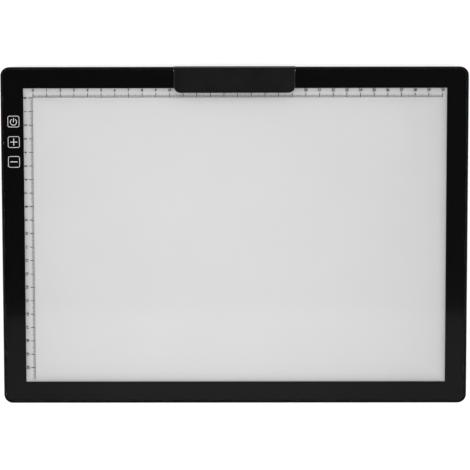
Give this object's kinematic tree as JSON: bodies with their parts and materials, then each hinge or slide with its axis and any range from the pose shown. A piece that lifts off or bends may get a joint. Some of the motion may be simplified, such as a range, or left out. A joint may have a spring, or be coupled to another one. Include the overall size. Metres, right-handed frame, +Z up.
{
  "type": "led tracing pad",
  "caption": "Slim A4 light panel for tracing, with printed rulers, touch keys in the left border and a sliding spring paper clip on the far edge.",
  "frame": {"origin": "on the table under the middle of the whole object, clip included", "axes": "+X to the right along the long side, +Y to the far edge that carries the clip, +Z up out of the drawing face"},
  "size_m": [0.343, 0.2494, 0.0132],
  "materials": {
    "frame_plastic": "fine satin texture",
    "cover_plastic": "fine matte texture",
    "screw_steel": "black oxide",
    "foot_rubber": "matte",
    "front_gloss": "polished clear sheet, printed black border behind",
    "diffuser_film": "milky, matte",
    "guide_acrylic": "polished clear acrylic",
    "reflector_film": "white film",
    "led_strip": "white solder mask",
    "board": "green solder mask",
    "aluminium": "mill",
    "steel": "bright",
    "spring_steel": "bright drawn wire",
    "chip_black": "moulded epoxy",
    "capacitor": "fired",
    "connector": "natural nylon",
    "foam": "closed-cell foam",
    "tape": "double-sided tape",
    "lead_red": "silicone insulation",
    "lead_black": "silicone insulation",
    "clip_sheet": "satin black paint",
    "clip_plastic": "satin",
    "grip_rubber": "ribbed",
    "felt": "felt"
  },
  "bodies": {
    "pad": {"bezel_frame": "frame_plastic", "back_cover": "cover_plastic", "cover_screw_far_left": "screw_steel", "cover_screw_far_mid_left": "screw_steel", "cover_screw_far_mid_right": "screw_steel", "cover_screw_far_right": "screw_steel", "cover_screw_near_left": "screw_steel", "cover_screw_near_mid_left": "screw_steel", "cover_screw_near_mid_right": "screw_steel", "cover_screw_near_right": "screw_steel", "foot_far_left": "foot_rubber", "foot_far_middle": "foot_rubber", "foot_far_right": "foot_rubber", "foot_near_left": "foot_rubber", "foot_near_middle": "foot_rubber", "foot_near_right": "foot_rubber", "front_sheet": "front_gloss", "diffuser_sheet": "diffuser_film", "light_guide_plate": "guide_acrylic", "reflector_sheet": "reflector_film", "guide_foam_left": "foam", "guide_foam_right": "foam", "guide_foam_far": "foam", "sheet_tape_far": "tape", "sheet_tape_near": "tape", "sheet_tape_left": "tape", "sheet_tape_right": "tape", "led_strip": "led_strip", "heat_spreader": "aluminium", "control_board": "board", "power_socket": "steel", "touch_chip": "chip_black", "driver_chip": "chip_black", "driver_inductor": "chip_black", "input_capacitor": "capacitor", "led_connector": "connector", "touch_spring_power": "spring_steel", "touch_spring_plus": "spring_steel", "touch_spring_minus": "spring_steel", "led_lead_red": "lead_red", "led_lead_black": "lead_black"},
    "clip_base": {"clip_bracket": "clip_sheet", "bracket_pad_left": "felt", "bracket_pad_right": "felt", "clip_hinge_pin": "steel", "clip_spring_left": "spring_steel", "clip_spring_right": "spring_steel"},
    "clip_lever": {"clip_jaw": "clip_plastic", "jaw_grip_strip": "grip_rubber"}
  },
  "joints": [
    {"name": "clip_slide", "type": "slide", "parent": "pad", "child": "clip_base", "axis": [1, 0, 0], "range_m": [-0.115, 0.115]},
    {"name": "jaw_hinge", "type": "hinge", "parent": "clip_base", "child": "clip_lever", "pos_m": [0, 0.12169, 0.0115], "axis": [-1, 0, 0], "range_deg": [0, 50], "stiffness_Nm_per_rad": 0.05, "springref_deg": -60.16}
  ]
}
